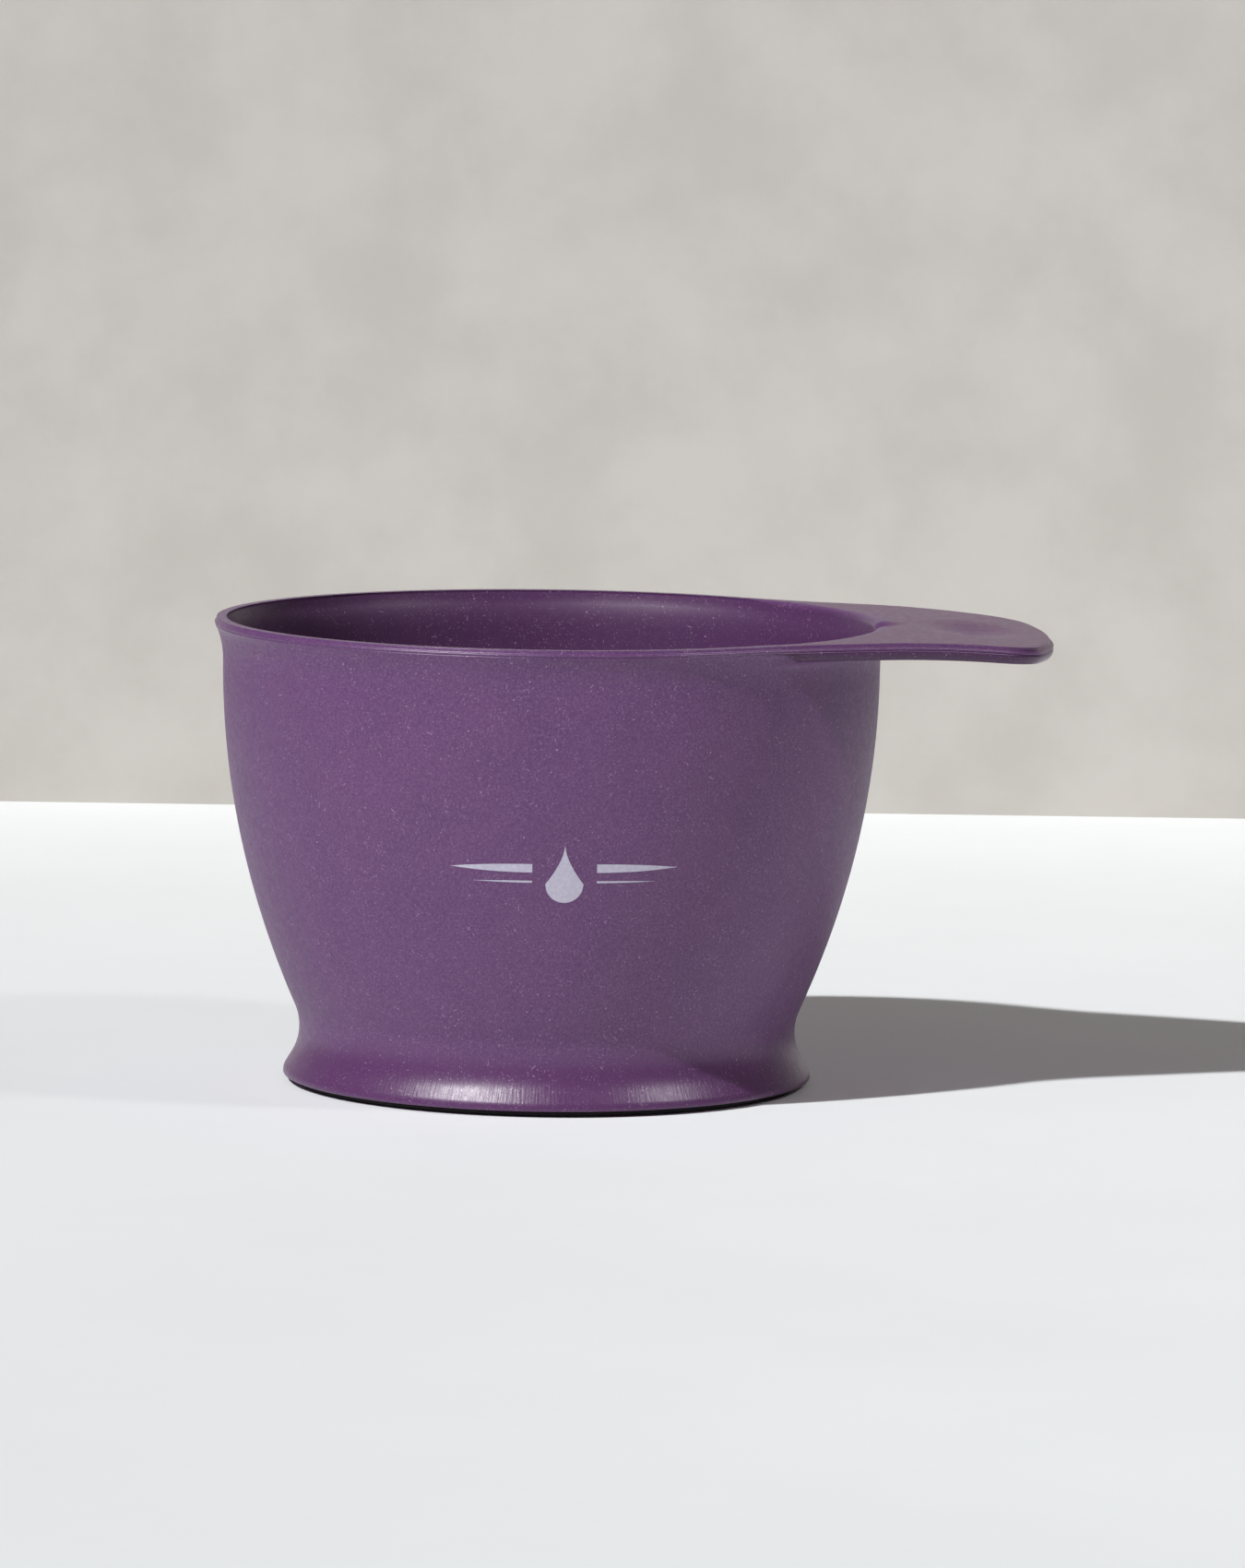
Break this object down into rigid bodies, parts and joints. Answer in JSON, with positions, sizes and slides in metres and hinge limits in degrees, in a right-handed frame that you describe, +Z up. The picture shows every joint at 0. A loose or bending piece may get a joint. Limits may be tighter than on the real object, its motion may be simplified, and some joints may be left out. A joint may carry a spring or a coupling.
{
  "type": "hair color bowl",
  "caption": "Round mixing bowl for hair tint with a rolled lip, a flat handle with thumb dish and brush notch, a flared foot and a non-slip rubber ring.",
  "frame": {"origin": "centre of the object's bounding box at its base, on the plane of the ring's tread; the bowl's own axis is 14.6 mm from it towards -X", "axes": "+Z up along the bowl's axis, +X from the bowl's axis along the handle, +Y across, so the XZ plane is the plane of symmetry"},
  "size_m": [0.1492, 0.12, 0.0828],
  "materials": {
    "bowl_plastic": "satin moulded plastic with fine pale fibres and specks mixed in",
    "ring_rubber": "matt black rubber",
    "print_ink": "thin pale lavender pad print on the front of the bowl"
  },
  "bodies": {
    "root": {"bowl_shell": "bowl_plastic", "non_slip_ring": "ring_rubber"}
  },
  "joints": []
}
